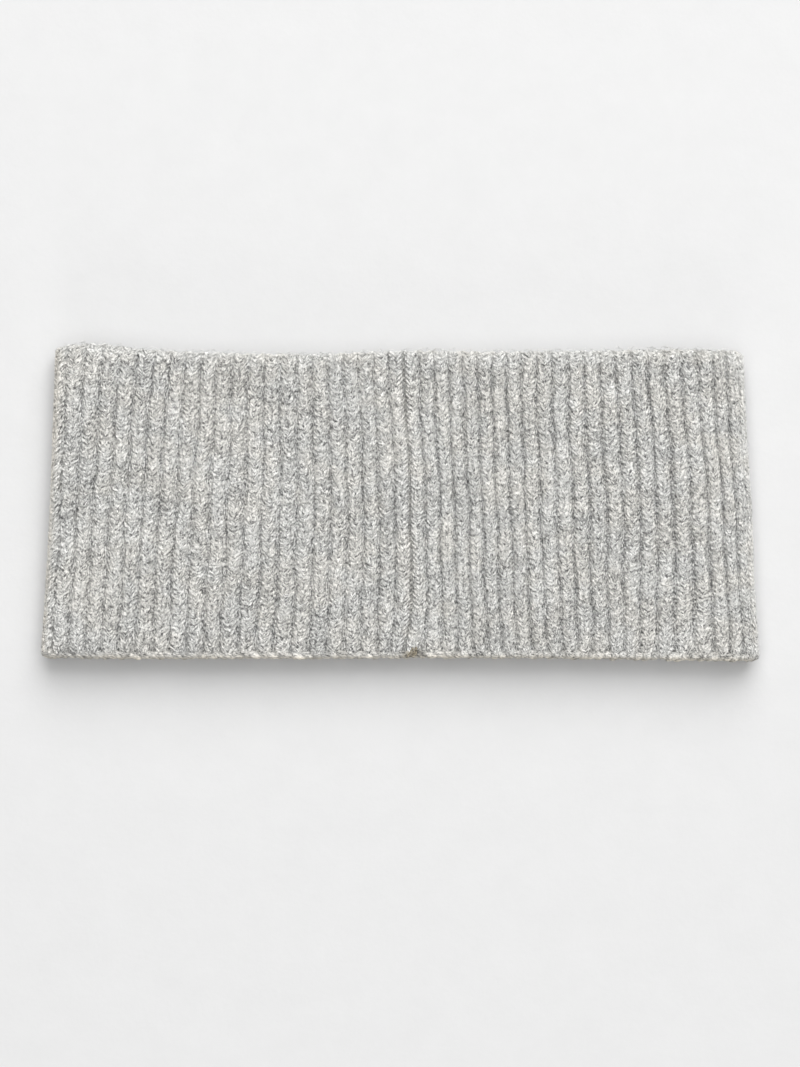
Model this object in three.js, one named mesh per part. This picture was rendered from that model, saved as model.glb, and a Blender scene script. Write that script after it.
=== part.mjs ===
// Ear warmer headband in one-by-one rib knit, lying flat on a table.
// A knitted strip runs round in a loop and its two ends are sewn together in the middle of the
// upper layer. The loop is folded flat at the left and right, so it has an upper and an under
// layer with a hollow between them, and a chain of yarn finishes its lower rim.
// Millimetres. X runs from fold to fold, Y from the lower to the upper rim, Z up off the table.
import * as THREE from "three";

// Driving sizes
const FLAT_WIDTH = 240; // from fold to fold, where the band is widest
const BAND_HEIGHT = 101.5; // from the lower to the upper rim at mid width, edge chain included
const WALL = 3.6; // the knitted wall, from outer rib crest to inner rib crest
const HOLLOW = 6.6; // free height between the two layers, beside the folds
const SAG = 0.7; // how far the upper layer dips at mid width
const RIBS_PER_FACE = 45; // ribs from the left fold to the right fold
const RIB_DEPTH = 1.15; // outer valleys, below the crests
const INNER_RIB_DEPTH = 0.7; // valleys of the side that touches the head
const CREST_SHARE = 0.44; // flat top of a rib, as a share of the rib's width
const UPPER_ROUND = 1.3; // how far down from the upper rim the wall's edges round over
const LOWER_ROUND = 0.6; // and how far up from the edge chain
const RIM_SHARE = 0.5; // thickness left at a rim, as a share of the wall's
const CORNER_ROUND = 2.6; // the silhouette's corners, where a fold meets a rim
const CHAIN_HEIGHT = 2.2; // the edge chain, along Y
const CHAIN_THICKNESS = 3.1; // the edge chain, through the wall
const CHAIN_PINCH = 0.8; // size of the chain between two links, as a share of its full size
const SEAM_WIDTH = 1.3; // the line of sewing that closes the loop
const SEAM_RIDGE = 0.6; // how far the sewing stands into the hollow
const SEAT_GAP = 0.3; // clearance between two pieces that meet

// Where the folds reach at each height, as shares of half the flat width
const FOLD_LINES = [
  { height: 0, left: 1, right: 1 },
  { height: 0.25, left: 0.986, right: 0.986 },
  { height: 0.5, left: 0.976, right: 0.978 },
  { height: 0.75, left: 0.969, right: 0.965 },
  { height: 1, left: 0.963, right: 0.957 },
];

// How far each rim lies above its straight line, as shares of the band's height
const RIM_LINES = [
  { across: 0, lower: 0.005, upper: 0.014 },
  { across: 0.06, lower: 0.004, upper: 0.026 },
  { across: 0.13, lower: 0.003, upper: 0.01 },
  { across: 0.24, lower: 0.003, upper: -0.001 },
  { across: 0.38, lower: 0.001, upper: -0.009 },
  { across: 0.52, lower: 0.002, upper: 0.002 },
  { across: 0.64, lower: 0.001, upper: -0.003 },
  { across: 0.78, lower: -0.003, upper: 0.007 },
  { across: 0.91, lower: -0.008, upper: 0.01 },
  { across: 1, lower: -0.0115, upper: 0 },
];

// How the ribs of the upper layer are spread. counted is the share of the ribs to the left of a
// valley, and the other columns are the share of the way from fold to fold at which it lies, at
// three heights. The strip is pulled together at its seam, and the ribs to the right are closer.
const RIB_PLACES = [
  { counted: 0, lower: 0, middle: 0, upper: 0 },
  { counted: 0.111, lower: 0.1125, middle: 0.1145, upper: 0.1255 },
  { counted: 0.222, lower: 0.2285, middle: 0.2315, upper: 0.239 },
  { counted: 0.356, lower: 0.3735, middle: 0.3785, upper: 0.3735 },
  { counted: 0.489, lower: 0.515, middle: 0.5135, upper: 0.505 },
  { counted: 0.689, lower: 0.703, middle: 0.6965, upper: 0.6955 },
  { counted: 0.844, lower: 0.8505, middle: 0.8585, upper: 0.852 },
  { counted: 0.933, lower: 0.953, middle: 0.9515, upper: 0.946 },
  { counted: 1, lower: 1, middle: 1, upper: 1 },
];
const SEAM_COUNTED = 0.489; // the seam lies in the valley nearest to this share of the ribs

// Worked out from the driving sizes
const RIBS = 2 * RIBS_PER_FACE;
const SEAM_RIB = Math.round(SEAM_COUNTED * RIBS_PER_FACE);
const FOLD_RADIUS = (WALL + HOLLOW) / 2; // of the wall's middle surface
const RIB_PITCH = FLAT_WIDTH / RIBS_PER_FACE;
const CREST_START = (1 - CREST_SHARE) / 2;
const OUTER_CREST = WALL / 2;
const OUTER_VALLEY = OUTER_CREST - RIB_DEPTH;
const INNER_CREST = -WALL / 2;
const INNER_VALLEY = INNER_CREST + INNER_RIB_DEPTH;

// A smooth curve through the rows of a table: give it the key column's value and get a row back.
function smoothTable(rows, key) {
  const columns = Object.keys(rows[0]).filter((name) => name !== key);
  const spline = new THREE.CubicInterpolant(
    rows.map((row) => row[key]),
    rows.flatMap((row) => columns.map((name) => row[name])),
    columns.length,
  );
  return (at) => {
    const values = spline.evaluate(THREE.MathUtils.clamp(at, 0, 1));
    return Object.fromEntries(columns.map((name, i) => [name, values[i]]));
  };
}
const foldLines = smoothTable(FOLD_LINES, "height");
const rimLines = smoothTable(RIM_LINES, "across");
const ribPlaces = smoothTable(RIB_PLACES, "counted");

// The middle of three values at height 0, a smooth pass through the second, the third at height 1.
function acrossHeights(low, middle, high, height) {
  const bow = middle - (low + high) / 2;
  return THREE.MathUtils.lerp(low, high, height) + 4 * bow * height * (1 - height);
}

// How far the folds draw in beside a rim, where the silhouette's corner rounds off.
function cornerTuck(height) {
  const fromRim = Math.min(height, 1 - height) * BAND_HEIGHT;
  const inside = Math.max(0, CORNER_ROUND - Math.max(0, fromRim));
  return CORNER_ROUND - Math.sqrt(Math.max(0, CORNER_ROUND ** 2 - inside ** 2));
}

// A point of the wall. ribs counts round the loop from the left fold, first over the upper layer
// to the right fold and then back under it. height goes from 0 at the lower rim to 1 at the upper.
// outward is the distance from the wall's middle surface, positive away from the hollow.
function wallPoint(ribs, height, outward) {
  const round = ((ribs % RIBS) + RIBS) % RIBS;
  const isUpper = round <= RIBS_PER_FACE;
  const counted = (isUpper ? round : RIBS - round) / RIBS_PER_FACE;
  const place = ribPlaces(counted);
  const share = isUpper
    ? acrossHeights(place.lower, place.middle, place.upper, height)
    : counted;

  const reach = foldLines(height);
  const inset = WALL / 2 + FOLD_RADIUS + cornerTuck(height);
  const leftCentre = (-reach.left * FLAT_WIDTH) / 2 + inset;
  const rightCentre = (reach.right * FLAT_WIDTH) / 2 - inset;
  const quarter = (Math.PI / 2) * FOLD_RADIUS;
  const flat = rightCentre - leftCentre;
  const travelled = share * (flat + 2 * quarter);

  // angle is that of the wall's normal: 0 straight up, a quarter turn outwards at each fold
  const beforeFlat = Math.max(0, quarter - travelled);
  const afterFlat = Math.max(0, travelled - quarter - flat);
  const angle = (afterFlat - beforeFlat) / FOLD_RADIUS;
  const x0 = THREE.MathUtils.clamp(leftCentre + travelled - quarter, leftCentre, rightCentre);
  const radius = FOLD_RADIUS + outward;
  const x = x0 + radius * Math.sin(angle);
  const side = isUpper ? 1 : -1;
  const dip = isUpper ? SAG * Math.sin((Math.PI * (x0 - leftCentre)) / flat) ** 2 : 0;
  const z = WALL / 2 + FOLD_RADIUS + side * radius * Math.cos(angle) - dip;

  const rim = rimLines(share);
  const lift = THREE.MathUtils.lerp(rim.lower, rim.upper, height);
  return new THREE.Vector3(x, (height + lift) * BAND_HEIGHT, z);
}

// The faces that close a section of the wall. Its points run along the outside and come back along
// the inside, and the faces zigzag between the two, so that each one stays within a rib or so.
function capFaces(count, outsideCount) {
  const lastOutside = outsideCount - 1;
  const lastInside = count - outsideCount - 1;
  const faces = [];
  let outside = 0;
  let inside = 0;
  while (outside < lastOutside || inside < lastInside) {
    const facing = count - 1 - inside;
    const isOutsideBehind = (outside + 1) * lastInside <= (inside + 1) * lastOutside;
    if (isOutsideBehind) {
      faces.push([outside, facing, outside + 1]);
      outside += 1;
    } else {
      faces.push([outside, facing, facing - 1]);
      inside += 1;
    }
  }
  return faces;
}

// A closed body through sections that each hold the same number of points in the same order.
// Without outsideCount it is a ring whose last section meets its first. With it the body is a
// stretch of wall, closed at both ends.
function loft(sections, outsideCount) {
  const isRing = outsideCount === undefined;
  const count = sections[0].length;
  const faces = [];
  const spans = isRing ? sections.length : sections.length - 1;
  for (let i = 0; i < spans; i++) {
    const here = i * count;
    const next = ((i + 1) % sections.length) * count;
    for (let j = 0; j < count; j++) {
      const k = (j + 1) % count;
      faces.push(here + j, here + k, next + k, here + j, next + k, next + j);
    }
  }
  if (!isRing) {
    const last = (sections.length - 1) * count;
    for (const [a, b, c] of capFaces(count, outsideCount)) {
      faces.push(a, b, c, last + a, last + c, last + b);
    }
  }
  const geometry = new THREE.BufferGeometry().setFromPoints(sections.flat());
  geometry.setIndex(faces);
  if (signedVolume(geometry) < 0) geometry.index.array.reverse();
  geometry.computeVertexNormals();
  return geometry;
}

function signedVolume(geometry) {
  const [a, b, c] = [new THREE.Vector3(), new THREE.Vector3(), new THREE.Vector3()];
  const { position } = geometry.attributes;
  const { array } = geometry.index;
  let volume = 0;
  for (let i = 0; i < array.length; i += 3) {
    a.fromBufferAttribute(position, array[i]);
    b.fromBufferAttribute(position, array[i + 1]);
    c.fromBufferAttribute(position, array[i + 2]);
    volume += a.dot(b.cross(c)) / 6;
  }
  return volume;
}

// The heights at which the wall is cut into sections above the chain, and how thick it is there,
// as a share of its full thickness: it thins in a quarter ellipse towards each rim.
function wallSections() {
  const start = CHAIN_HEIGHT + SEAT_GAP;
  const roundSteps = [0, 0.3, 1];
  const plainShares = [0.03, 0.35, 0.65, 0.97];
  const plainStart = start + LOWER_ROUND;
  const plainEnd = BAND_HEIGHT - UPPER_ROUND;
  const thickness = (step) => THREE.MathUtils.lerp(RIM_SHARE, 1, Math.sqrt(step * (2 - step)));
  const sections = [
    ...roundSteps.map((step) => [start + step * LOWER_ROUND, thickness(step)]),
    ...plainShares.map((share) => [THREE.MathUtils.lerp(plainStart, plainEnd, share), 1]),
    ...roundSteps.toReversed().map((step) => [BAND_HEIGHT - step * UPPER_ROUND, thickness(step)]),
  ];
  return sections.map(([rise, thick]) => ({ height: rise / BAND_HEIGHT, thick }));
}

const yarn = (name, colour) =>
  new THREE.MeshStandardMaterial({ name, color: colour, roughness: 0.95, metalness: 0 });

// The knitted strip: ribs outside, shallower ribs inside, open where its two ends are sewn
function ribbedBand() {
  const cut = (SEAM_WIDTH / 2 + SEAT_GAP) / RIB_PITCH;
  const sections = wallSections().map(({ height, thick }) => {
    const point = (ribs, outward) => wallPoint(SEAM_RIB + ribs, height, outward * thick);
    const outside = [point(cut, OUTER_VALLEY)];
    const inside = [point(cut, INNER_CREST)];
    for (let rib = 0; rib < RIBS; rib++) {
      const end = rib === RIBS - 1 ? RIBS - cut : rib + 1;
      outside.push(
        point(rib + CREST_START, OUTER_CREST),
        point(rib + 1 - CREST_START, OUTER_CREST),
        point(end, OUTER_VALLEY),
      );
      inside.push(point(rib + 0.5, INNER_VALLEY), point(end, INNER_CREST));
    }
    return [...outside, ...inside.reverse()];
  });
  return loft(sections, 3 * RIBS + 1);
}

// The chain of yarn round the lower rim, a closed ring that swells at each link
function edgeChain() {
  const corners = 6;
  const sections = [];
  for (let step = 0; step < 2 * RIBS; step++) {
    const ribs = SEAM_RIB + step / 2;
    const swell = step % 2 ? 1 : CHAIN_PINCH;
    const section = [];
    for (let corner = 0; corner < corners; corner++) {
      const turn = (2 * Math.PI * corner) / corners;
      const outward = (swell * CHAIN_THICKNESS * Math.cos(turn)) / 2;
      const rise = (CHAIN_HEIGHT * (1 + swell * Math.sin(turn) / Math.sin(Math.PI / 3))) / 2;
      section.push(wallPoint(ribs, rise / BAND_HEIGHT, outward));
    }
    sections.push(section);
  }
  return loft(sections);
}

// The line of sewing between the strip's two ends, with the turned-in yarn as a low inner ridge
function backSeam() {
  const half = SEAM_WIDTH / 2 / RIB_PITCH;
  const inner = INNER_CREST - SEAM_RIDGE;
  const sections = wallSections().map(({ height, thick }) => [
    wallPoint(SEAM_RIB - half, height, OUTER_VALLEY * thick),
    wallPoint(SEAM_RIB + half, height, OUTER_VALLEY * thick),
    wallPoint(SEAM_RIB + half, height, inner * thick),
    wallPoint(SEAM_RIB - half, height, inner * thick),
  ]);
  return loft(sections, 2);
}

const headband = new THREE.Group();
const pieces = {
  ribbed_band: [ribbedBand(), yarn("rib_knit", 0xbababa)],
  edge_chain: [edgeChain(), yarn("chain_knit", 0xc6c5c0)],
  back_seam: [backSeam(), yarn("seam_yarn", 0xa9a9a7)],
};
for (const [name, [geometry, material]] of Object.entries(pieces)) {
  const mesh = new THREE.Mesh(geometry, material);
  mesh.name = name;
  headband.add(mesh);
}

// The origin is on the table, under the middle of the band's box
const box = new THREE.Box3().setFromObject(headband);
const centre = box.getCenter(new THREE.Vector3());
headband.position.set(-centre.x, -centre.y, -box.min.z);

export default headband;
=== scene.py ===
import math

import bmesh
import bpy
import numpy as np
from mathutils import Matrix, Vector


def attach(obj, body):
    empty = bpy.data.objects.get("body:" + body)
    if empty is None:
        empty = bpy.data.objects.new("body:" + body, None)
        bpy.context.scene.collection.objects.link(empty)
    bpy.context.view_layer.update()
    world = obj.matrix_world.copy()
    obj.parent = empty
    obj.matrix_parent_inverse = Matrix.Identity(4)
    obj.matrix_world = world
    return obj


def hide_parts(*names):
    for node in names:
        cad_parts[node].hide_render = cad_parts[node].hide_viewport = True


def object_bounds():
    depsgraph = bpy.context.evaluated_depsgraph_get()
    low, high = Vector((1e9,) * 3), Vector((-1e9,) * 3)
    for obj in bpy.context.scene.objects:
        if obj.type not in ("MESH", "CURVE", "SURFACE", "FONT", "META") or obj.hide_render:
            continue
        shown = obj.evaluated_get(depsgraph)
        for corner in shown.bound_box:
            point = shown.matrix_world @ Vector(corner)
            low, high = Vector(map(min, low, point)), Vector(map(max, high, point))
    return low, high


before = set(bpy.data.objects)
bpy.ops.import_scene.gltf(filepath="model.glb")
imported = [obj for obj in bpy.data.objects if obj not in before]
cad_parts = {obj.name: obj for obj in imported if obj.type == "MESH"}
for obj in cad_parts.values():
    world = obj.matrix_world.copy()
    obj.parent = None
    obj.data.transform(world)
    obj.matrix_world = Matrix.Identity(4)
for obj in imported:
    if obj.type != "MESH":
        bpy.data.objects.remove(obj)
cad_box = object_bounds()

# Ear warmer headband in one-by-one rib knit, lying flat. The knit is laid out in millimetres on
# the band's own wall: how far round the loop, how far up from the lower rim, and how far out from
# the middle of the wall. on_wall() takes such points to the frame, in metres.
MM = 0.001

# The wall, as in the solids
FLAT_WIDTH = 240.0
BAND_HEIGHT = 101.5
WALL = 3.6
HOLLOW = 6.6
SAG = 0.7
RIBS_PER_FACE = 45
CORNER_ROUND = 1.8
LOWER_RIM_Y = -51.5
MIDDLE_X = -0.08
FOLD_LINES = {
    "height": [0, 0.25, 0.5, 0.75, 1],
    "left": [1, 0.986, 0.976, 0.969, 0.963],
    "right": [1.004, 0.991, 0.984, 0.971, 0.963],
}
RIM_LINES = {
    "across": [0, 0.06, 0.13, 0.24, 0.38, 0.52, 0.64, 0.78, 0.91, 1],
    "lower": [0, -0.001, -0.002, -0.002, -0.002, 0, 0, -0.003, -0.008, -0.0115],
    "upper": [0.022, 0.028, 0.011, 0.001, -0.004, 0.008, 0.004, 0.007, 0.01, 0.004],
}
RIB_PLACES = {
    "counted": [0, 0.111, 0.222, 0.356, 0.489, 0.689, 0.844, 0.933, 1],
    "lower": [0, 0.1125, 0.2285, 0.3735, 0.515, 0.703, 0.8505, 0.953, 1],
    "middle": [0, 0.1145, 0.2315, 0.3785, 0.5135, 0.6965, 0.8585, 0.9515, 1],
    "upper": [0, 0.1255, 0.239, 0.3735, 0.505, 0.6955, 0.852, 0.946, 1],
}
RIBS = 2 * RIBS_PER_FACE
SEAM_RIB = 22
RIB_PITCH = FLAT_WIDTH / RIBS_PER_FACE
FOLD_RADIUS = (WALL + HOLLOW) / 2
ROLL_RADIUS = WALL / 2  # the stitches roll over the upper rim at half the wall's thickness
ROLL_START = BAND_HEIGHT - 0.7

# How the hand-laid cloth departs from the plain wall
CREASE_RISE = 53.0  # a faint crease runs across the upper layer, from having been folded
CREASE_BELOW = 1.3
CREASE_ABOVE = 9.0
CREASE_LIFT = 0.4
RIM_DROOP = 1.1  # the upper layer's upper rim hangs a little
RIM_DROOP_WIDTH = 5.0
SWELL = 0.3  # slow swells of the upper layer
RIM_STEADY = 8.0  # within this of a rim, the ribs and rows stray less and less
SEAM_SWING = 0.012  # the seam's lower end is drawn to the left, as a share of the layer
SEAM_SWING_RISE = 7.0
SEAM_SWING_RIBS = 1.4
RIB_WANDER = 0.045  # how far a rib strays sideways, in ribs
ROW_WANDER = 0.3

# Stitches
ROW = 1.667
FIRST_ROW = 2.7
ROWS = 60
LEG_FOOT = 0.02  # where the two legs of a stitch meet, from the rib's middle, in ribs
LEG_HEAD = 0.325  # where they part
SEAM_LEG_HEAD = 0.385  # beside the seam, where the legs crowd up to its line
SEAM_LEG_WIDE = 0.22
SEAM_CROWN = 0.65  # beside the seam the ribs keep more of their height up to its groove
FOLD_LEG_HEAD = 0.5  # round the folds the ribs are stretched flat
LEG_REACH = 1.2  # half of a leg's extent up the rib
LEG_CURVE = 1.25  # a leg leaves its foot aslant and ends more upright
LEG_WIDE = 0.5  # how far to each side of a leg's middle its locks of wool lie
LEG_ROUND = 0.2  # how much higher the locks along its middle lie
LEG_LENGTH = 1.5  # half of a leg's own length
LOCK_TWIST = 0.3  # the locks turn round the leg, as the yarn's twist has it
LOCK_DEEP = 0.7  # a lock's depth, as a share of its width
LOCK_TONES = 6.0  # how much the locks differ in shade
YARN_TWIST = 0.3  # the fibres' turn round their yarn, for each millimetre of it
LEG_TILT = -0.1  # the foot of a leg lies deeper than its head
LEG_BOW = 0.25  # and both lie deeper than its middle
RIM_FLATTENS = 0.6  # how much of its roundness a rib loses at the upper rim
RIB_CROWN = 1.0  # how much a rib rounds off between its middle and its valley
RIGHT_RIB_CROWN = 1.1  # right of the seam
CREST = WALL / 2 - 0.42  # the legs' middle line on the crest

# How loosely the stitches are knit, as a factor of how much they stray
LOOSE = {"left": 1.0, "left_of_seam": 1.7, "at_seam": 0.4, "right": 0.75}
STRAY = {
    "stitch_up": 0.14,
    "leg_around": 0.12,
    "leg_lean": 0.03,
    "lock_out": 0.05,
    "lock_twist": 0.2,
    "lock_length": 0.15,
    "lock_width": 0.2,
}
# Locks along a leg and across it, and a lock's half length and half width
LOCK_SIZES = {"upper": (4, 3, 0.9, 0.28), "under": (3, 2, 1.2, 0.42), "inner": (2, 2, 1.4, 0.5)}

# The bound-off chain, a link for every stitch
CHAIN_LINK = RIB_PITCH / 2
CHAIN_OVERLAP = 0.68  # half of a link's length, as a share of the pitch
CHAIN_RISE = 1.1
CHAIN_SLANT = 0.45  # a link rises from right to left and dips into the next
CHAIN_APART = 0.75  # how far the two legs of a link lie from the middle of the wall
CHAIN_STRAY = 0.13
CHAIN_HALF_WIDE = 0.8
CHAIN_HALF_DEEP = 1.15
CHAIN_LOWEST = 0.7  # below this the chain is warmer, and paler as painted light on its shaded underside
CHAIN_WARMTH = {"all": 0.08, "lowest": 0.4, "by_seam": 0.6}
# lowest: painted light on the chain's shaded underside; by_seam: darker where it has yellowed
CHAIN_LIGHT_AND_TONE = {"lowest": 5, "by_seam": -7}

# The sewing of the seam, and the yarn's end that is worked in beside it
BAR_REACH = 0.75  # half of a bar's length, across the seam
BAR_HALF = 0.34
BAR_OUT = -0.6
EDGE_HALF = 0.5
EDGE_OUT = -1.75
END_TURNS = 9  # short lengths of yarn
END_HALF = 0.36
END_FROM_SEAM = 2.9
END_RISE = 1.6
END_OUT = 1.5

# The core that carries the stitches, a corrugated sheet
CORE_PROFILE = {
    "from_crest": [0, 0.125, 0.25, 0.375, 0.5],
    "out": [1.15, 1.2, 0.9, 0.3, -0.2],
}
CORE_FLAT_OUT = 1.15  # where the ribs are flattened
CORE_EDGE = 1.2  # how far above the lower rim the core's edge starts to round off
CORE_EDGE_DROP = 0.6
SEAM_GROOVE = 1.2  # how much deeper the core is along the seam
SEAM_GROOVE_RIBS = 0.05
CORE_STEPS_PER_RIB = 8
CORE_SIDE_STEPS = 26
CORE_EDGE_STEPS = 6

# Loose hairs
HAIRS_AT_RIM = 0.1  # the share of them that lies by the upper rim
HAIR_HALF = (0.4, 4, 0.3)  # half of a hair's length: the least, and the shape and scale of the rest
HAIR_CURL = 0.35
HAIR_HOP = (0.7, 0.1)  # how high a hair may stand off the upper layer and the under layer
HAIR_THICK = (0.03, 0.06)
DARK_HAIRS = 0.4  # the share of them that is dark

# Shades of the wool, as steps of tone, painted light and shade among them. A step up is a little
# lighter.
TONE_STEP = 0.035  # what a step of tone adds to the light that the wool's colours are read by
LEFT_VALLEY_SHADE = -5.4  # painted shade at a millimetre's depth in the valleys, left of the seam
RIGHT_VALLEY_SHADE = -6.1
VALLEY_POWER = 1.6
FOOT_SHADE = -4.0  # painted shade along a rib's middle, where the feet of the stitches meet and lie deeper
FOOT_WIDTH = 0.09  # in ribs
# painted light on the rolled upper rim, which faces the key light
UPPER_RIM_LIGHT = 6
UPPER_RIM_CORE_LIGHT_CUT = -3  # the core gets less of that painted light than the stitches on it
UPPER_RIM_WIDTH = 4.5
TURN_LIGHT = 7  # painted light at the turn of a fold, where the surface turns away from the lamps
CREASE_TONE = 0.7
CREASE_TONE_RISE = 64.0  # the pale band lies above the crease
CREASE_TONE_WIDTH = 5.0
BY_CHAIN_SHADE = -2  # painted shade just above the raised chain
BY_CHAIN_WIDTH = 4.0
# painted shade beside the seam and in its groove
SEAM_LEG_SHADE = -2
SEWING_SHADE = -2
END_TONE = -8  # the yarn's end is darker than the rest, and tan
DARK_HAIR_TONE = -9
PALE_HAIR_TONE = 3

# Folds
LEFT_FOLD_RIBS = 0.9  # how many ribs a fold stretches
RIGHT_FOLD_RIBS = 1.2
FOLD_FLATTENS = 0.8  # how much of its roundness a rib loses there
TURN_SHARE = 0.77  # the turn's painted light takes this share of the fold
LEFT_FOLD_WARMTH = 0.2
LEFT_FOLD_WARM_RIBS = 0.7


def curve(table, key, column, at):
    """A smooth curve through a column of a table, read where the key column has these values."""
    keys = np.array(table[key], float)
    values = np.array(table[column], float)
    at = np.clip(at, keys[0], keys[-1])
    i = np.clip(np.searchsorted(keys, at, side="right"), 1, len(keys) - 1)
    keys = np.concatenate([[keys[1]], keys, [keys[-2]]])
    values = np.concatenate([[values[1]], values, [values[-2]]])
    before, start, end, after = (keys[i + k] for k in (-1, 0, 1, 2))
    weight_before = (end - start) / 2 / (start - before)
    weight_after = (end - start) / 2 / (after - end)
    p = (at - start) / (end - start)
    return (
        values[i - 1] * weight_before * (-(p**3) + 2 * p**2 - p)
        + values[i] * (1 + (1 + weight_before) * p**3 - (1.5 + 2 * weight_before) * p**2
                       + (weight_before - 0.5) * p)
        + values[i + 1] * (-(1 + weight_after) * p**3 + (1.5 + weight_after) * p**2 + 0.5 * p)
        + values[i + 2] * weight_after * (p**3 - p**2)
    )


def wave(round_loop, waves, rise, length, start):
    """A slow wave that closes on itself round the loop and runs on up the band."""
    return np.sin(2 * math.pi * (round_loop * waves / RIBS + rise / length + start))


def on_wall(points):
    """Takes points on the band's wall to the frame, in metres. Past the upper rim they roll."""
    around, rise, outward = np.moveaxis(np.asarray(points, float), -1, 0)
    ribs = around / RIB_PITCH
    inside_rims = np.clip(rise / RIM_STEADY, 0, 1)
    inside_rims = inside_rims * np.clip((BAND_HEIGHT - rise) / RIM_STEADY, 0, 1)
    ribs = ribs + RIB_WANDER * wave(ribs, 10, rise, 38, 0.1) * inside_rims
    ribs = ribs + RIB_WANDER / 2 * wave(ribs, -21, rise, 17, 0.4) * inside_rims
    rise = rise + ROW_WANDER * wave(ribs, 7, rise, 90, 0.2) * inside_rims
    rise = rise + ROW_WANDER / 2 * wave(ribs, 19, rise, -60, 0.7) * inside_rims

    rolled = np.clip((rise - ROLL_START) / ROLL_RADIUS, 0, math.pi)
    lying = np.where(rolled > 0, ROLL_START + np.abs(outward) * np.sin(rolled), rise)
    outward = outward * np.cos(rolled)
    height = lying / BAND_HEIGHT

    ribs = np.mod(ribs, RIBS)
    is_upper = ribs <= RIBS_PER_FACE
    counted = np.where(is_upper, ribs, RIBS - ribs) / RIBS_PER_FACE
    low, middle, high = (
        curve(RIB_PLACES, "counted", column, counted) for column in ("lower", "middle", "upper")
    )
    bow = middle - (low + high) / 2
    off_seam = (ribs - SEAM_RIB) / SEAM_SWING_RIBS
    swing = SEAM_SWING * np.exp(-(off_seam**2) - (lying / SEAM_SWING_RISE) ** 2)
    placed = low + (high - low) * height + 4 * bow * height * (1 - height) - swing
    share = np.where(is_upper, placed, counted)

    from_rim = np.minimum(height, 1 - height) * BAND_HEIGHT
    into_corner = np.clip(CORNER_ROUND - np.maximum(from_rim, 0), 0, CORNER_ROUND)
    tuck = CORNER_ROUND - np.sqrt(CORNER_ROUND**2 - into_corner**2)
    inset = WALL / 2 + FOLD_RADIUS + tuck
    left = -curve(FOLD_LINES, "height", "left", height) * FLAT_WIDTH / 2 + inset
    right = curve(FOLD_LINES, "height", "right", height) * FLAT_WIDTH / 2 - inset
    flat = right - left
    quarter = math.pi / 2 * FOLD_RADIUS
    travelled = share * (flat + 2 * quarter)
    turned = np.maximum(0, travelled - quarter - flat) - np.maximum(0, quarter - travelled)
    angle = turned / FOLD_RADIUS
    over = np.clip(left + travelled - quarter, left, right)
    radius = FOLD_RADIUS + outward
    x = over + radius * np.sin(angle)

    amid = np.where(is_upper, np.sin(math.pi * np.clip((over - left) / flat, 0, 1)), 0)
    swell = wave(ribs, 6, lying, 120, 0.3) + 0.6 * wave(ribs, -14, lying, 70, 0.8)
    past = lying - CREASE_RISE
    crease = CREASE_LIFT * np.exp(-((past / np.where(past < 0, CREASE_BELOW, CREASE_ABOVE)) ** 2))
    droop = RIM_DROOP * np.clip((lying - BAND_HEIGHT) / RIM_DROOP_WIDTH + 1, 0, 1.3) ** 2
    lift = (crease + SWELL * swell - droop) * np.minimum(1, 2 * amid) - SAG * amid**2
    z = WALL / 2 + FOLD_RADIUS + np.where(is_upper, 1, -1) * radius * np.cos(angle) + lift

    lower = curve(RIM_LINES, "across", "lower", share)
    upper = curve(RIM_LINES, "across", "upper", share)
    y = lying + (lower + (upper - lower) * height) * BAND_HEIGHT
    return np.stack([x + MIDDLE_X, y + LOWER_RIM_Y, z], axis=-1) * MM


def spindle(sides, rings):
    """A closed spindle of yarn with blunt ends, along Z from -1 to 1."""
    bm = bmesh.new()
    bmesh.ops.create_uvsphere(bm, u_segments=sides, v_segments=rings, radius=1)
    for v in bm.verts:
        around = math.hypot(v.co.x, v.co.y)
        if around > 0.01:
            full = math.sqrt(1 - abs(v.co.z) ** 2.6)
            v.co.x *= full / around
            v.co.y *= full / around
    return shape_of(bm)


def fibre_shape():
    """A hair with three sides, along Z from -1 to 1, cut into three so that it can bend."""
    bm = bmesh.new()
    bmesh.ops.create_cone(bm, cap_ends=True, segments=3, radius1=1, radius2=0.5, depth=2)
    for cut in (-0.35, 0.35):
        whole = bm.verts[:] + bm.edges[:] + bm.faces[:]
        bmesh.ops.bisect_plane(bm, geom=whole, plane_co=(0, 0, cut), plane_no=(0, 0, 1))
    return shape_of(bm)


def shape_of(bm):
    """The corners and faces of a small shape."""
    corners = np.array([v.co for v in bm.verts])
    for i, v in enumerate(bm.verts):
        v.index = i
    faces = [[v.index for v in face.verts] for face in bm.faces]
    bm.free()
    return corners, faces


def joined(name, shape, places, strand, tone, warmth=None):
    """One mesh of many copies of a small shape. places holds each copy's corners, in the frame.
    strand says where a point is on its yarn, in millimetres, tone how light it is painted there,
    painted light and shade included, and warmth how warm its colour is."""
    corners, faces = shape
    copies = len(places)
    sizes = np.array([len(face) for face in faces])
    loops = np.concatenate(faces)
    starts = np.concatenate([[0], np.cumsum(sizes)[:-1]])
    each = np.arange(copies)[:, None]
    mesh = bpy.data.meshes.new(name)
    mesh.vertices.add(copies * len(corners))
    mesh.vertices.foreach_set("co", places.astype(np.float32).ravel())
    mesh.loops.add(copies * len(loops))
    mesh.loops.foreach_set("vertex_index", (loops + each * len(corners)).ravel().astype(np.int32))
    mesh.polygons.add(copies * len(faces))
    mesh.polygons.foreach_set("loop_start", (starts + each * len(loops)).ravel().astype(np.int32))
    mesh.update(calc_edges=True)
    mesh.shade_smooth()
    paint(mesh, "strand", strand)
    paint(mesh, "tone", np.broadcast_to(tone, places.shape[:2]))
    if warmth is not None:
        paint(mesh, "warmth", np.broadcast_to(warmth, places.shape[:2]))
    return add_piece(name, mesh)


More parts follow.
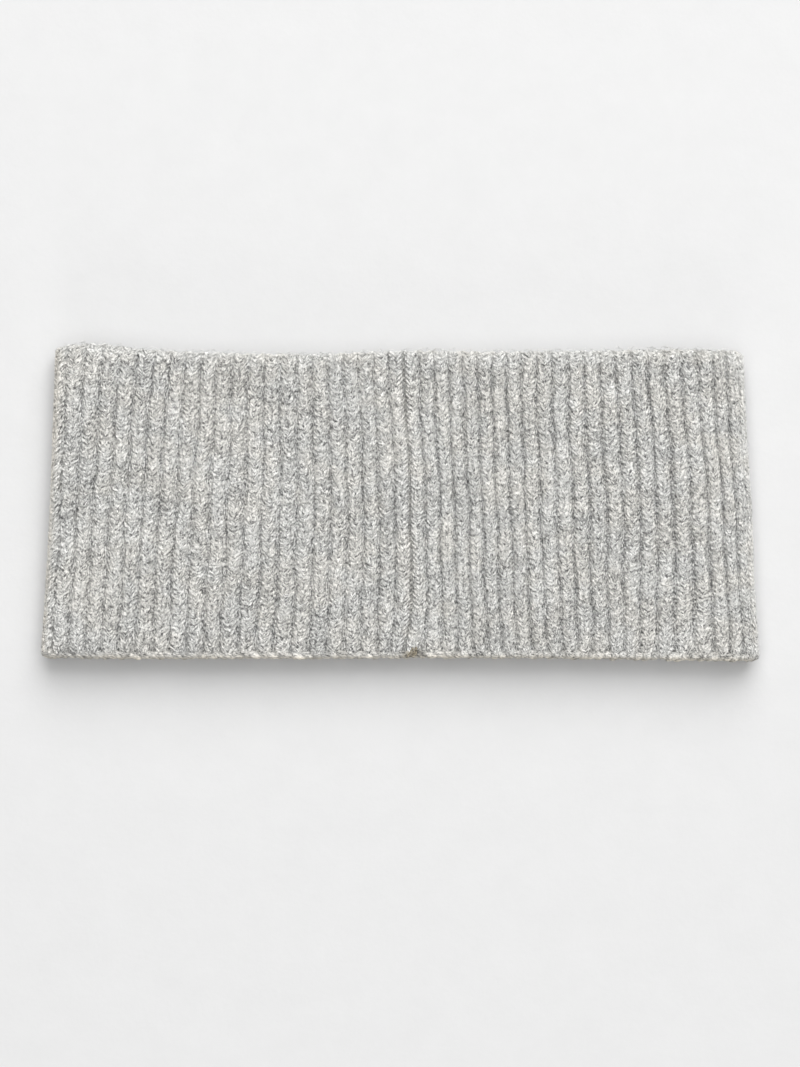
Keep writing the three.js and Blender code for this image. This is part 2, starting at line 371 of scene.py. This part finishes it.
def paint(mesh, name, values):
    """Keeps a value or a vector for each corner of the mesh, for its material to read."""
    is_vector = values.size == 3 * len(mesh.vertices)
    attribute = mesh.attributes.new(name, "FLOAT_VECTOR" if is_vector else "FLOAT", "POINT")
    numbers = values.astype(np.float32).ravel()
    attribute.data.foreach_set("vector" if is_vector else "value", numbers)


def add_piece(name, mesh):
    """Puts a mesh into the scene."""
    piece = bpy.data.objects.new(name, mesh)
    bpy.context.scene.collection.objects.link(piece)
    return piece


def along_paths(shape, path, facing, wide, deep, twist, rng):
    """Lays a copy of a shape along each path. Returns the copies' corners on the wall, and for
    each corner its place on the yarn. path takes places from -1 to 1 and gives points on the wall,
    facing is the way that the yarn's upper side looks."""
    across, up, along = shape[0].T
    centre = path(along)
    step = 0.01
    tangent = path(along + step) - path(along - step)
    half_length = np.linalg.norm(tangent, axis=-1, keepdims=True) / (2 * step)
    tangent = tangent / np.linalg.norm(tangent, axis=-1, keepdims=True)
    sideways = np.cross(np.broadcast_to(facing, tangent.shape), tangent)
    sideways = sideways / np.linalg.norm(sideways, axis=-1, keepdims=True)
    upright = np.cross(tangent, sideways)
    points = centre + wide * across[:, None] * sideways + deep * up[:, None] * upright
    strand = np.empty_like(points)
    strand[..., 2] = along * half_length[..., 0]
    strand[..., 0] = (wide * across[:, None])[..., 0] + twist * strand[..., 2]
    strand[..., 1] = (deep * up[:, None])[..., 0]
    strand += rng.uniform(0, 200, (len(points), 1, 3))
    return points, strand


def yarn_tones(rng, rows, ribs):
    """How light each stitch's yarn is: every row is one yarn whose shade drifts along it."""
    drift = rng.normal(0, 1, (ribs + 8, rows))
    kernel = np.array([0.1, 0.25, 0.3, 0.25, 0.1])
    drift = np.apply_along_axis(lambda column: np.convolve(column, kernel, "same"), 0, drift)
    return drift[4:-4] / drift.std() * 0.5 + rng.normal(0, 0.3, (ribs, rows))


def from_fold(ribs):
    """How many ribs away the nearest fold is."""
    return np.abs(np.mod(ribs + RIBS_PER_FACE / 2, RIBS_PER_FACE) - RIBS_PER_FACE / 2)


def fold_width(ribs):
    """How many ribs the nearest fold takes. The left fold is the sharper one."""
    at_left = np.mod(ribs + RIBS_PER_FACE / 2, RIBS) < RIBS_PER_FACE
    return np.where(at_left, LEFT_FOLD_RIBS, RIGHT_FOLD_RIBS)


def near_fold(ribs):
    """How far the ribs are stretched flat: most at a fold and 0 away from it."""
    return FOLD_FLATTENS * np.exp(-((from_fold(ribs) / fold_width(ribs)) ** 4))


def left_fold_warmth(ribs):
    """The turn of the left fold has yellowed a little."""
    from_left = np.abs(np.mod(ribs + RIBS_PER_FACE, RIBS) - RIBS_PER_FACE)
    return LEFT_FOLD_WARMTH * np.exp(-((from_left / LEFT_FOLD_WARM_RIBS) ** 4))


def near_upper_rim(rise):
    """0 below the upper rim's roll, rising to 1 at the rim."""
    return np.clip((rise - BAND_HEIGHT) / UPPER_RIM_WIDTH + 1, 0, 1)


def painted_rim_light_and_shade(rise, ribs):
    """Painted light at the upper rim and at the turns of the folds, a paler band above the faint
    crease, and painted shade just above the chain."""
    at_turn = np.exp(-((from_fold(ribs) / (TURN_SHARE * fold_width(ribs))) ** 6))
    on_crease = np.exp(-(((rise - CREASE_TONE_RISE) / CREASE_TONE_WIDTH) ** 2))
    by_chain = np.clip(2 * (1 - rise / BY_CHAIN_WIDTH), 0, 1)
    return (
        UPPER_RIM_LIGHT * near_upper_rim(rise)
        + TURN_LIGHT * at_turn
        + CREASE_TONE * on_crease
        + BY_CHAIN_SHADE * by_chain
    )


def valley_shade(depth, ribs):
    """Painted shade: the wool deep in the valleys is painted darker. The depth is in millimetres
    below the crest.
    """
    darkest = np.where(ribs < SEAM_RIB, LEFT_VALLEY_SHADE, RIGHT_VALLEY_SHADE)
    return darkest * np.maximum(depth, 0) ** VALLEY_POWER


def foot_shade(from_middle):
    """Painted shade: a faint dark line along a rib's middle, where the feet of the stitches meet
    and lie deeper.
    """
    return FOOT_SHADE * np.exp(-((from_middle / FOOT_WIDTH) ** 2))


def rib_stitches(name, ribs, rows, lock_size, seed, facing=1):
    """The stitches of some ribs, each with two legs of yarn that meet at its foot. A leg is a
    bundle of short locks of wool, a little astray. lock_size is one of LOCK_SIZES. facing is 1 on
    the outer side of the wall and -1 on the side towards the hollow."""
    locks_along, locks_across, half_length, half_width = lock_size
    rng = np.random.default_rng(seed)
    rib, row, side = (a.ravel()[:, None] for a in np.meshgrid(ribs, rows, (-1, 1), indexing="ij"))
    legs = len(rib)
    at_seam = np.abs(rib + side * facing * 0.5 - SEAM_RIB) < 0.1
    # Just left of the seam the stitches are looser, and at the seam the ribs are drawn together
    loose = np.where(rib > SEAM_RIB, LOOSE["right"], LOOSE["left"])
    loose = np.where((rib > SEAM_RIB - 3) & (rib <= SEAM_RIB), LOOSE["left_of_seam"], loose)
    loose = np.where(at_seam, LOOSE["at_seam"], loose)
    wide = np.where(at_seam, SEAM_LEG_WIDE, LEG_WIDE)
    stray_up = np.repeat(rng.normal(0, STRAY["stitch_up"], legs // 2), 2)[:, None]
    rise = FIRST_ROW + row * ROW + stray_up
    flattened = np.maximum(near_fold(rib), RIM_FLATTENS * near_upper_rim(rise))
    foot = LEG_FOOT * (1 - flattened)
    head = np.where(at_seam, SEAM_LEG_HEAD, LEG_HEAD + (FOLD_LEG_HEAD - LEG_HEAD) * flattened)
    crown = np.where(rib < SEAM_RIB, RIB_CROWN, RIGHT_RIB_CROWN)
    crown = np.where(at_seam, SEAM_CROWN, crown) * (1 - flattened)
    tone = np.repeat(yarn_tones(rng, len(rows), len(ribs)).ravel(), 2)[:, None]
    tone = tone + SEAM_LEG_SHADE * at_seam

    locks = locks_along * locks_across
    rib, side, loose, wide, rise, foot, head, crown, tone = (
        np.repeat(a, locks, axis=0) for a in (rib, side, loose, wide, rise, foot, head, crown, tone)
    )
    count = legs * locks
    lean = np.repeat(rng.normal(0, STRAY["leg_lean"], (legs, 1)), locks, axis=0) * loose
    stray_around = np.repeat(rng.normal(0, STRAY["leg_around"], (legs, 1)), locks, axis=0) * loose
    stray_out = rng.normal(0, STRAY["lock_out"], (count, 1)) * loose
    along, across = np.meshgrid(np.arange(locks_along), np.arange(locks_across), indexing="ij")
    along = np.tile((2 * along.ravel() + 1) / locks_along - 1, legs)[:, None]
    along = along + rng.normal(0, 0.5 / locks_along, (count, 1))
    across = np.tile((2 * across.ravel() + 1) / locks_across - 1, legs)[:, None]
    across = across + rng.normal(0, 0.5 / locks_across, (count, 1))
    turn = rng.normal(LOCK_TWIST, STRAY["lock_twist"], (count, 1))
    tone = tone + rng.normal(0, LOCK_TONES, (count, 1))
    middle = rib * RIB_PITCH + stray_around

    def leg(t):
        spread = foot + (head - foot) * (1 - (np.maximum(1 - t, 0) / 2) ** LEG_CURVE) + lean * t
        out = CREST - LEG_TILT * t - LEG_BOW * t**2 - crown * (2 * spread) ** 2 + stray_out
        around = middle + side * facing * spread * RIB_PITCH
        return np.stack([around, rise + LEG_REACH * t, facing * out], axis=-1)

    def lock(t):
        t = along + half_length * length / LEG_LENGTH * t
        way = leg(t + 0.01) - leg(t - 0.01)
        way = way / np.linalg.norm(way, axis=-1, keepdims=True)
        sideways = np.cross((0, 0, facing), way)
        place = np.clip(across + turn * (t - along), -1, 1)[..., None]
        over = LEG_ROUND * np.sqrt(1 - place**2) * np.cross(way, sideways)
        return leg(t) + wide[..., None] * place * sideways + over

    length = rng.normal(1, STRAY["lock_length"], (count, 1))
    wide_lock = half_width * rng.normal(1, STRAY["lock_width"], (count, 1, 1))
    deep_lock = LOCK_DEEP * wide_lock
    shape = spindle(3, 2)
    points, strand = along_paths(shape, lock, (0, 0, facing), wide_lock, deep_lock, YARN_TWIST, rng)
    centre = lock(np.zeros(1))
    at = centre[..., 0] / RIB_PITCH
    tone = tone + valley_shade(CREST + LEG_ROUND - facing * centre[..., 2], at) + 1
    tone = tone + foot_shade(np.abs(at - rib)) + painted_rim_light_and_shade(centre[..., 1], at)
    points[..., 2] = np.clip(points[..., 2], -WALL / 2, WALL / 2)
    warmth = left_fold_warmth(points[..., 0] / RIB_PITCH)
    return joined(name, shape, on_wall(points), strand, tone, warmth)


def ribbed_core():
    """The knit behind its stitches: a corrugated sheet, thick enough that nothing shows through."""
    around_steps = CORE_STEPS_PER_RIB * RIBS
    # Going up the outer side, over the upper rim, down the inner side and round the lower edge
    side_steps = CORE_SIDE_STEPS
    edge_steps = CORE_EDGE_STEPS
    turn = np.linspace(0, math.pi, edge_steps + 1)[1:-1]
    climb = np.linspace(CORE_EDGE, ROLL_START, side_steps + 1)
    rise = np.concatenate([climb, ROLL_START + turn / 2 * ROLL_RADIUS, climb[::-1],
                           CORE_EDGE - np.sin(turn) * CORE_EDGE_DROP])
    straight = np.ones(side_steps + 1)
    outer = np.concatenate([straight, np.cos(turn), -straight, -np.cos(turn)])
    profile_steps = len(rise)

    bm = bmesh.new()
    bmesh.ops.create_grid(bm, x_segments=around_steps, y_segments=profile_steps, size=0.5)
    grid = np.array([v.co for v in bm.verts])
    around = (grid[:, 0] + 0.5) * RIBS
    place = np.rint((grid[:, 1] + 0.5) * profile_steps).astype(int) % profile_steps
    up = rise[place]
    # A crest of the outer side is a valley of the inner side
    from_middle = np.abs(np.mod(around, 1) - 0.5)
    from_crest = np.where(outer[place] > 0, from_middle, 0.5 - from_middle)
    flattened = np.maximum(near_fold(around), RIM_FLATTENS * near_upper_rim(up))
    out = np.interp(from_crest, CORE_PROFILE["from_crest"], CORE_PROFILE["out"])
    depth = (CORE_PROFILE["out"][1] - out) * (1 - flattened)
    out = out + (CORE_FLAT_OUT - out) * flattened
    out -= SEAM_GROOVE * ((np.abs(around - SEAM_RIB) < SEAM_GROOVE_RIBS) & (outer[place] > 0))
    outward = out * outer[place]
    points = on_wall(np.stack([around * RIB_PITCH, up, outward], axis=-1))
    tone = valley_shade(depth, around) + foot_shade(from_crest)
    tone = tone + painted_rim_light_and_shade(up, around) + UPPER_RIM_CORE_LIGHT_CUT * near_upper_rim(up)
    warmth = left_fold_warmth(around)
    layers = {name: bm.verts.layers.float.new(name) for name in ("tone", "warmth")}
    strand_layer = bm.verts.layers.float_vector.new("strand")
    for i, v in enumerate(bm.verts):
        v.co = points[i]
        v[strand_layer] = (around[i] * RIB_PITCH, up[i], outward[i])
        v[layers["tone"]] = tone[i]
        v[layers["warmth"]] = warmth[i]
    bmesh.ops.remove_doubles(bm, verts=bm.verts, dist=1e-6)
    bmesh.ops.recalc_face_normals(bm, faces=bm.faces)
    mesh = bpy.data.meshes.new("ribbed_core")
    bm.to_mesh(mesh)
    bm.free()
    mesh.shade_smooth()
    return add_piece("ribbed_core", mesh)


def bound_off_chain():
    """The chain that binds off the lower rim: a link for every stitch, two legs of yarn a link."""
    rng = np.random.default_rng(31)
    links = np.arange(2 * RIBS) * CHAIN_LINK
    at, side = (a.ravel() for a in np.meshgrid(links, (-1, 1), indexing="ij"))
    count = len(at)
    stray = rng.normal(0, CHAIN_STRAY, (3, count, 1))
    plump = rng.normal(1, 0.1, (count, 1))

    def path(t):
        around = at[:, None] + CHAIN_OVERLAP * CHAIN_LINK * t + stray[0]
        rise = CHAIN_RISE - CHAIN_SLANT * t - 0.15 * (1 - t**2) + stray[1]
        out = side[:, None] * (CHAIN_APART - 0.3 * t) + stray[2] * 0.5
        return np.stack([around, rise, out], axis=-1)

    shape = spindle(6, 6)
    wide = (CHAIN_HALF_WIDE * plump)[..., None]
    deep = (CHAIN_HALF_DEEP * plump)[..., None]
    points, strand = along_paths(shape, path, (0, -1, 0), wide, deep, YARN_TWIST, rng)
    # Along its lowest line the chain is warmer, and paler as painted light on its shaded underside;
    # beside the seam it has yellowed most of all
    lowest = np.clip((CHAIN_LOWEST - points[..., 1]) / 0.8, 0, 1)
    by_seam = np.exp(-(((points[..., 0] / RIB_PITCH - SEAM_RIB - 0.45) / 0.4) ** 2))
    tone = CHAIN_LIGHT_AND_TONE["lowest"] * lowest + CHAIN_LIGHT_AND_TONE["by_seam"] * by_seam
    tone = tone + rng.normal(0, 1.5, (count, 1))
    warmth = CHAIN_WARMTH["all"] + CHAIN_WARMTH["lowest"] * lowest
    warmth = warmth + CHAIN_WARMTH["by_seam"] * by_seam
    return joined("bound_off_chain", shape, on_wall(points), strand, tone, warmth)


def seam_sewing():
    """The sewing of the seam: short bars of yarn deep in its valley, and the two turned-in edges of
    the strip as a low ridge on the hollow's side."""
    rng = np.random.default_rng(47)
    rise = FIRST_ROW + ROW * np.arange(0, ROWS - 1, 1.0)[:, None]
    count = len(rise)
    middle = SEAM_RIB * RIB_PITCH

    def bars(t):
        around = middle + BAR_REACH * t + rng.normal(0, 0.01, (count, 1))
        out = BAR_OUT - 0.25 * t**2 + 0 * rise
        return np.stack([around + 0 * rise, rise + 0.3 * t, out], axis=-1)

    shape = spindle(6, 6)
    sewn, strand = along_paths(shape, bars, (0, 0, 1), BAR_HALF, BAR_HALF, YARN_TWIST, rng)
    points, strands = [sewn], [strand]
    for side in (-1, 1):

        def edge(t, side=side):
            around = middle + side * (0.5 + 0.25 * t) + 0 * rise
            return np.stack([around, rise + 1.2 * t, EDGE_OUT + 0.15 * t**2 + 0 * rise], axis=-1)

        laid, strand = along_paths(shape, edge, (0, 0, -1), EDGE_HALF, EDGE_HALF, YARN_TWIST, rng)
        points.append(laid)
        strands.append(strand)

    # The yarn's end, worked in at the lower rim
    turns = rng.uniform(-1, 1, (END_TURNS, 3, 1))

    def yarn_end(t):
        around = middle + END_FROM_SEAM + 1.1 * turns[:, 0] + 0.6 * t * turns[:, 1]
        up = END_RISE + 0.9 * turns[:, 2] + 1.1 * t
        return np.stack([around, up, END_OUT - 0.3 * t**2 + 0 * around], axis=-1)

    laid, strand = along_paths(shape, yarn_end, (0, 0, 1), END_HALF, END_HALF, YARN_TWIST, rng)
    points = np.concatenate([*points, laid])
    strands = np.concatenate([*strands, strand])
    sewing = len(points) - END_TURNS
    tone = np.repeat([SEWING_SHADE, END_TONE], [sewing, END_TURNS])
    tone = (tone + rng.normal(0, 0.5, len(points)))[:, None]
    warmth = np.repeat([0.05, 0.95], [sewing, END_TURNS])[:, None]
    return joined("seam_sewing", shape, on_wall(points), strands, tone, warmth)


def stray_fibres(name, from_rib, to_rib, count, seed):
    """Loose hairs of the wool that lie over the stitches and stand off the rims a little."""
    rng = np.random.default_rng(seed)
    around = rng.uniform(from_rib, to_rib, (count, 1)) * RIB_PITCH
    on_upper_rim = rng.uniform(0, 1, (count, 1)) < HAIRS_AT_RIM
    rise = np.where(on_upper_rim, BAND_HEIGHT + rng.uniform(-1, 2, (count, 1)),
                    rng.uniform(1, BAND_HEIGHT, (count, 1)))
    heading = rng.uniform(0, 2 * math.pi, (count, 1))
    half = rng.gamma(HAIR_HALF[1], HAIR_HALF[2], (count, 1)) + HAIR_HALF[0]
    curl = rng.normal(0, HAIR_CURL, (count, 1)) * half
    rise = np.maximum(rise, 0.5 + half * np.abs(np.sin(heading)) + np.abs(curl))
    is_upper = np.mod(around / RIB_PITCH, RIBS) < RIBS_PER_FACE
    hop = np.minimum(rng.gamma(2, 0.1, (count, 1)), np.where(is_upper, *HAIR_HOP))

    def path(t):
        bend = curl * (1 - t**2)
        over = around + half * t * np.cos(heading) - bend * np.sin(heading)
        from_crest = np.abs(np.mod(over / RIB_PITCH, 1) - 0.5)
        rooted = WALL / 2 - 0.05 - RIB_CROWN * (2 * from_crest) ** 2
        return np.stack([over, rise + half * t * np.sin(heading) + bend * np.cos(heading),
                         rooted - 0.2 * t**2 + hop * (1 - t**2)], axis=-1)

    shape = fibre_shape()
    thick = rng.uniform(*HAIR_THICK, (count, 1))[..., None]
    points, strand = along_paths(shape, path, (0.01, 0.02, 1), thick, thick, 0, rng)
    is_dark = rng.uniform(0, 1, (count, 1)) < DARK_HAIRS
    tone = np.where(is_dark, DARK_HAIR_TONE, PALE_HAIR_TONE) + rng.normal(0, 1, (count, 1))
    return joined(name, shape, on_wall(points), strand, tone)


class Socket:
    """A shader socket that takes part in Python's arithmetic: each operator adds its Math node."""

    def __init__(self, shader, socket):
        self.shader = shader
        self.socket = socket

    def math(self, operation, *values):
        return self.shader.node("ShaderNodeMath", {"operation": operation}, dict(enumerate(values)))

    def __add__(self, other):
        return self.math("ADD", self, other)

    def __radd__(self, other):
        return self.math("ADD", other, self)

    def __sub__(self, other):
        return self.math("SUBTRACT", self, other)

    def __rsub__(self, other):
        return self.math("SUBTRACT", other, self)

    def __mul__(self, other):
        return self.math("MULTIPLY", self, other)

    def __rmul__(self, other):
        return self.math("MULTIPLY", other, self)

    def magnitude(self):
        return self.math("ABSOLUTE", self)

    def whole(self):
        return self.math("FLOOR", self)

    def fraction(self):
        return self.math("FRACT", self)

    def between(self, low, high):
        """0 below low, 1 above high, and a smooth step from one to the other."""
        return self.shader.node(
            "ShaderNodeMapRange",
            {"interpolation_type": "SMOOTHSTEP"},
            {"Value": self, "From Min": low, "From Max": high},
        )


class Shader:
    """A material made by code: node() adds any node, with its settings and its sockets' values."""

    def __init__(self, name):
        self.material = bpy.data.materials.new(name)
        self.material.use_nodes = True
        self.tree = self.material.node_tree
        self.surface = self.tree.nodes["Principled BSDF"]

    def node(self, kind, settings=None, inputs=None, output=0):
        node = self.tree.nodes.new(kind)
        for name, value in (settings or {}).items():
            setattr(node, name, value)
        for name, value in (inputs or {}).items():
            self.feed(node.inputs[name], value)
        return Socket(self, node.outputs[output])

    def feed(self, socket, value):
        if isinstance(value, Socket):
            self.tree.links.new(value.socket, socket)
        else:
            socket.default_value = value

    def attribute(self, name, output):
        return self.node("ShaderNodeAttribute", {"attribute_name": name}, output=output)

    def split(self, vector, axis):
        return self.node("ShaderNodeSeparateXYZ", {}, {"Vector": vector}, output=axis)

    def stretched(self, vector, scale):
        return self.node("ShaderNodeMapping", {}, {"Vector": vector, "Scale": scale})

    def noise(self, vector, scale, detail, roughness):
        return self.node(
            "ShaderNodeTexNoise",
            {},
            {"Vector": vector, "Scale": scale, "Detail": detail, "Roughness": roughness},
        )

    def ramp(self, value, stops):
        """A colour ramp with these (place, colour) stops."""
        ramp = self.node("ShaderNodeValToRGB", {}, {"Fac": value})
        elements = ramp.socket.node.color_ramp.elements
        elements[0].position, elements[0].color = stops[0][0], (*stops[0][1], 1)
        elements[1].position, elements[1].color = stops[-1][0], (*stops[-1][1], 1)
        for place, colour in stops[1:-1]:
            elements.new(place).color = (*colour, 1)
        return ramp

    def mix(self, factor, first, second, blend="MIX"):
        """Mixes two colours."""
        node = self.tree.nodes.new("ShaderNodeMix")
        node.data_type = "RGBA"
        node.blend_type = blend
        for number, value in ((0, factor), (6, first), (7, second)):
            self.feed(node.inputs[number], value)
        return Socket(self, node.outputs[2])


# The wool's fibres, from the darkest to the palest: where each is on the scale of light
FIBRES = [
    (0.1, (0.07, 0.07, 0.069)),
    (0.36, (0.34, 0.34, 0.328)),
    (0.64, (0.65, 0.646, 0.622)),
    (0.92, (0.9, 0.89, 0.857)),
]
COOL_TINT = (0.985, 0.99, 1, 1)
WARM_TINT = (1, 0.99, 0.98, 1)
TAN = (0.9, 0.79, 0.6, 1)
NAP_TINT = (0.96, 0.95, 0.92, 1)
MIDDLE_LIGHT = 0.66  # the wool's light before its fibres and patches vary it
# How much each kind of variation adds or takes
STREAKS = 2.1
HAIRS = 1.6
FLECKS = 0.5
PATCHES = 0.22
BLOTCHES = 0.22


def along_stitches(wool, place):
    """Turns a place on the wall into one on the strands that run up to both sides of each rib."""
    around, rise, out = (wool.split(place, axis) for axis in range(3))
    half = around * (2 / RIB_PITCH)
    half_number = half.whole()
    from_middle = ((half * 0.5).fraction() - 0.5).magnitude() * RIB_PITCH
    slope = math.atan2(LEG_REACH, (LEG_HEAD - LEG_FOOT) / 2 * RIB_PITCH)
    across = rise * math.cos(slope) - from_middle * math.sin(slope)
    along = from_middle * math.cos(slope) + rise * math.sin(slope)
    apart = half_number * 7.3 + out  # the strands of each half rib are their own
    return wool.node("ShaderNodeCombineXYZ", {}, {"X": across, "Y": apart, "Z": along})


def heather_wool(name, shade=0.0, contrast=1.0, is_core=False):
    """Grey heather wool: fine pale and dark fibres that run along the yarn, drifting shade, and a
    nap that catches light at grazing angles. shade lightens or darkens it all, and contrast says
    how much the fibres differ. The core has no stitches of its own, so its strands are drawn."""
    wool = Shader(name)
    strand = wool.attribute("strand", "Vector")
    if is_core:
        strand = along_stitches(wool, strand)
    tone = wool.attribute("tone", "Fac")
    place = wool.node("ShaderNodeTexCoord", output="Object")

    streaks = wool.noise(wool.stretched(strand, (2.2, 2.2, 0.7)), 1.0, 2.0, 0.7)
    hairs = wool.noise(wool.stretched(strand, (3.7, 3.7, 0.8)), 1.0, 2.0, 0.6)
    flecks = wool.noise(place, 900.0, 2.0, 0.6)
    patches = wool.noise(place, 60.0, 2.0, 0.5)
    blotches = wool.noise(place, 210.0, 1.0, 0.5)

    light = MIDDLE_LIGHT + (streaks - 0.5) * (STREAKS * contrast)
    light = light + (hairs - 0.5) * (HAIRS * contrast) + (flecks - 0.5) * FLECKS
    light = light + tone * TONE_STEP + shade
    light = light + (patches - 0.5) * PATCHES + (blotches - 0.5) * BLOTCHES
    colour = wool.ramp(light, FIBRES)
    tint = wool.mix(wool.noise(place, 110.0, 1.0, 0.5).between(0.35, 0.65), COOL_TINT, WARM_TINT)
    colour = wool.mix(1.0, colour, tint, "MULTIPLY")
    colour = wool.mix(wool.attribute("warmth", "Fac"), colour, TAN, "MULTIPLY")
    bump = wool.node(
        "ShaderNodeBump",
        {},
        {"Height": streaks + hairs * 0.5, "Strength": 0.9, "Distance": 0.0002},
    )
    wool.feed(wool.surface.inputs["Base Color"], colour)
    wool.feed(wool.surface.inputs["Roughness"], 0.85 + (streaks - 0.5) * 0.2)
    wool.feed(wool.surface.inputs["Normal"], bump)
    wool.surface.inputs["Specular IOR Level"].default_value = 0.25
    wool.surface.inputs["Sheen Weight"].default_value = 0.3
    wool.surface.inputs["Sheen Roughness"].default_value = 0.45
    wool.surface.inputs["Sheen Tint"].default_value = NAP_TINT
    return wool.material


# The pieces
rib_wool = heather_wool("rib_wool")
# painted shade: the core under the stitches and the stitches facing the hollow are the same wool,
# painted a little darker
core_wool_painted_shade = heather_wool("core_wool_painted_shade", shade=-0.03, is_core=True)
inner_wool_painted_shade = heather_wool("inner_wool_painted_shade", shade=-0.02)
# painted shade: the chain is the same wool, painted darker than the rest
chain_wool_painted_shade = heather_wool("chain_wool_painted_shade", shade=-0.26, contrast=0.7)
# painted shade: the sewing lies deep in the seam's groove and its wool is painted darker; the
# yarn's end shares it
seam_wool_painted_shade = heather_wool("seam_wool_painted_shade", shade=-0.1, contrast=0.5)
loose_wool = heather_wool("loose_wool", shade=0.08)

# The loop runs along the upper layer from left to right, and back along the under layer
upper_left = np.arange(SEAM_RIB) + 0.5
upper_right = np.arange(SEAM_RIB, RIBS_PER_FACE) + 0.5
under_right = upper_left + RIBS_PER_FACE
under_left = upper_right + RIBS_PER_FACE
inner = np.arange(RIBS)
all_rows = np.arange(ROWS)
rim_rows = np.concatenate([all_rows[:8], all_rows[-11:]])  # the rows inside that can be seen

core = ribbed_core()
outer_stitches = [
    rib_stitches("upper_ribs_left", upper_left, all_rows, LOCK_SIZES["upper"], 3),
    rib_stitches("upper_ribs_right", upper_right, all_rows, LOCK_SIZES["upper"], 5),
    rib_stitches("under_ribs_left", under_left, all_rows, LOCK_SIZES["under"], 7),
    rib_stitches("under_ribs_right", under_right, all_rows, LOCK_SIZES["under"], 11),
]
inner_stitches = rib_stitches("inner_ribs", inner, rim_rows, LOCK_SIZES["inner"], 13, facing=-1)
chain = bound_off_chain()
sewing = seam_sewing()
fibres = [
    stray_fibres("stray_fibres_upper", -0.6, RIBS_PER_FACE + 0.6, 6000, 59),
    stray_fibres("stray_fibres_under", RIBS_PER_FACE, RIBS, 1500, 61),
]
pieces = [
    (core, core_wool_painted_shade, "rib_knit"),
    *((piece, rib_wool, "rib_knit") for piece in outer_stitches),
    (inner_stitches, inner_wool_painted_shade, "rib_knit"),
    (chain, chain_wool_painted_shade, "chain_knit"),
    (sewing, seam_wool_painted_shade, "seam_yarn"),
    *((piece, loose_wool, "rib_knit") for piece in fibres),
]
for piece, material, slot in pieces:
    piece.data.materials.append(material)
    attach(piece, "root")
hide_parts("ribbed_band")
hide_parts("edge_chain")
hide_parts("back_seam")

# The floor, pale and matt
FLOOR_DARKER = (0.588, 0.588, 0.588, 1)
FLOOR_PALER = (0.63, 0.63, 0.63, 1)
floor_mesh = bpy.data.meshes.new("floor")
bm = bmesh.new()
bmesh.ops.create_grid(bm, x_segments=1, y_segments=1, size=3)
bm.to_mesh(floor_mesh)
bm.free()
floor = add_piece("floor", floor_mesh)
paper = Shader("pale_floor")
on_paper = paper.node("ShaderNodeTexCoord", output="Object")
grain = paper.noise(on_paper, 350.0, 3.0, 0.6)
mottling = paper.noise(on_paper, 70.0, 4.0, 0.7)
paper.feed(
    paper.surface.inputs["Base Color"],
    paper.mix(mottling, FLOOR_DARKER, FLOOR_PALER),
)
paper.feed(paper.surface.inputs["Roughness"], 0.9)
paper.feed(
    paper.surface.inputs["Normal"],
    paper.node("ShaderNodeBump", {}, {"Height": grain, "Strength": 0.15, "Distance": 0.0005}),
)
paper.surface.inputs["Specular IOR Level"].default_value = 0.1
floor_mesh.materials.append(paper.material)


def soft_light(name, place, size, power, aim=(0, 0, 0)):
    """A round, soft light. size is its width in metres, power is in watts."""
    light = bpy.data.lights.new(name, "AREA")
    light.shape = "DISK"
    light.size = size
    light.energy = power
    lamp = bpy.data.objects.new(name, light)
    lamp.location = place
    lamp.rotation_mode = "QUATERNION"
    lamp.rotation_quaternion = (Vector(aim) - Vector(place)).to_track_quat("-Z", "Y")
    bpy.context.scene.collection.objects.link(lamp)


soft_light("key_light", (0.4, 1.7, 1.88), 2.75, 77)
soft_light("overhead_light", (0, -0.1, 2.6), 3.0, 42)
soft_light("front_fill", (0, -1.7, 0.3), 1.2, 8.5, aim=(0, 0, 0.01))
world = bpy.data.worlds.new("studio")
world.use_nodes = True
world.node_tree.nodes["Background"].inputs["Color"].default_value = (1, 1, 1, 1)
world.node_tree.nodes["Background"].inputs["Strength"].default_value = 0.24
bpy.context.scene.world = world
bpy.context.scene.view_settings.view_transform = "Standard"

# The camera looks almost straight down, from a little towards the lower rim
PHOTO_HIGH = 1067  # pixels, and the picture is 800 wide
BAND_MIDDLE = (399.5, 502)  # the band's middle in the photo
PHOTO_MIDDLE = (400, 533.5)
PIXELS_PER_METRE = 3008
CAMERA_DISTANCE = 1.2
CAMERA_ELEVATION = math.radians(87)
aim = Vector(
    (
        (PHOTO_MIDDLE[0] - BAND_MIDDLE[0]) / PIXELS_PER_METRE,
        (BAND_MIDDLE[1] - PHOTO_MIDDLE[1]) / PIXELS_PER_METRE,
        cad_box[1].z,
    )
)
back = Vector((0, -math.cos(CAMERA_ELEVATION), math.sin(CAMERA_ELEVATION)))
camera = bpy.data.objects.new("camera", bpy.data.cameras.new("camera"))
camera.data.lens = camera.data.sensor_width * CAMERA_DISTANCE * PIXELS_PER_METRE / PHOTO_HIGH
camera.location = aim + back * CAMERA_DISTANCE
camera.rotation_mode = "QUATERNION"
camera.rotation_quaternion = (-back).to_track_quat("-Z", "Y")
camera.data.clip_start = 0.01
camera.data.clip_end = 20
bpy.context.scene.collection.objects.link(camera)
bpy.context.scene.camera = camera
